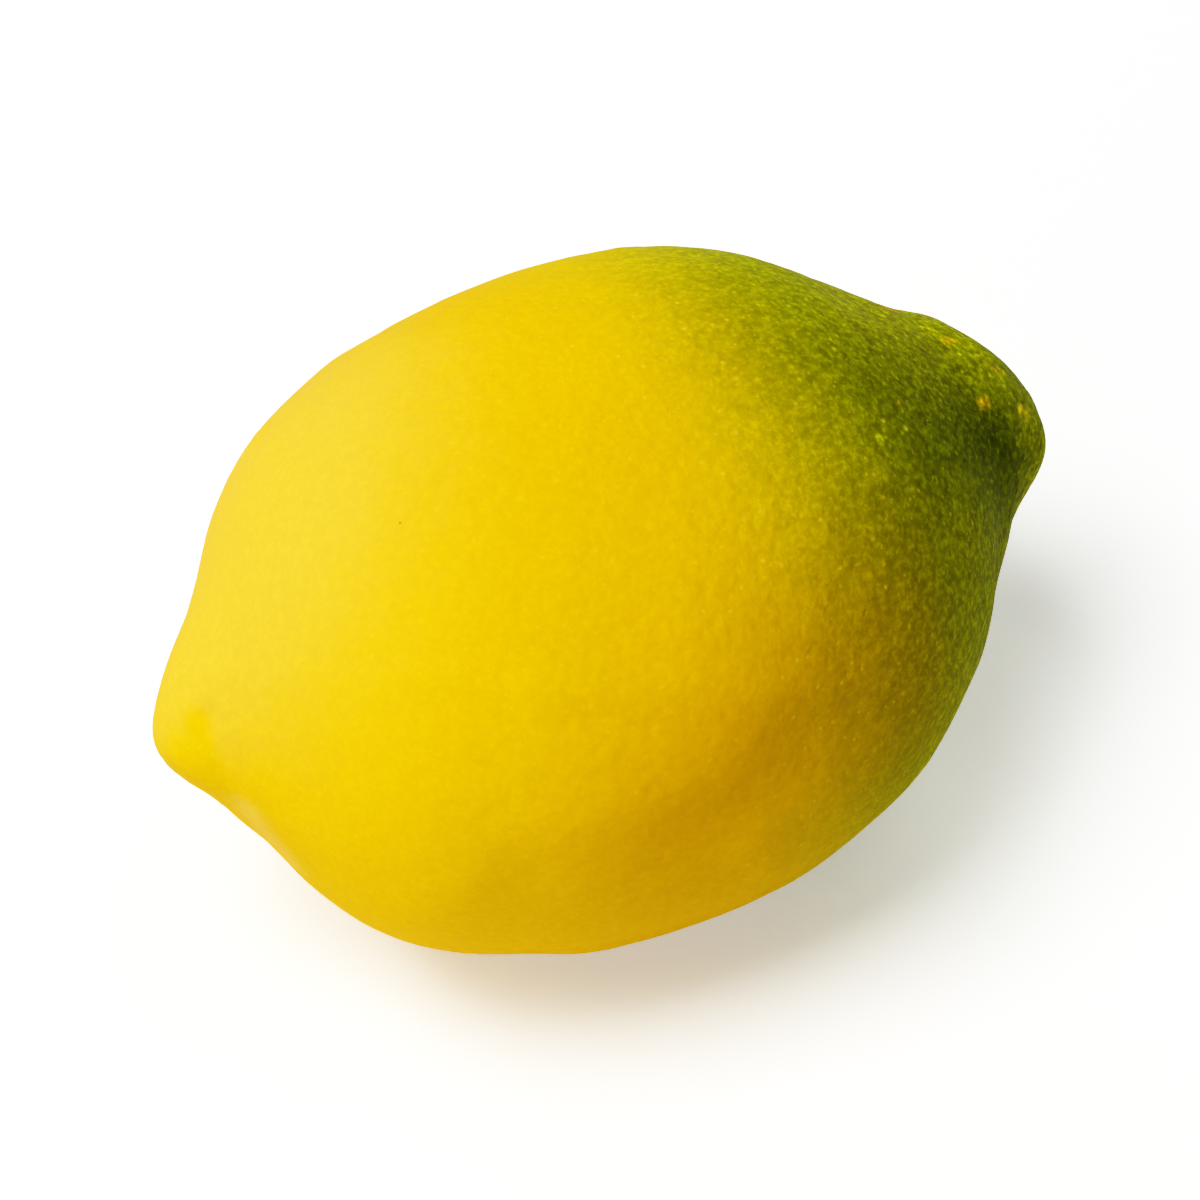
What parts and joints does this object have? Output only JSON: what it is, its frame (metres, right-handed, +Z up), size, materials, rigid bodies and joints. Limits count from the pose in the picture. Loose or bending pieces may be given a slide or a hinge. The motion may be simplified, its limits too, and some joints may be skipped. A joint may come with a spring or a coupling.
{
  "type": "lemon",
  "caption": "Whole lemon lying on its side on a small flat spot, with a nipple at one end and a blunt neck at the other, yellow ripening from a green neck.",
  "frame": {"origin": "middle of the flat spot that the fruit rests on, below the middle of its box", "axes": "+X from the nipple to the green neck, along the fruit; +Y across it; +Z up"},
  "size_m": [0.0874, 0.06, 0.0592],
  "materials": {
    "peel": "satin waxy citrus peel, yellow with an olive green blush over the neck third"
  },
  "bodies": {
    "root": {"lemon": "peel"}
  },
  "joints": []
}
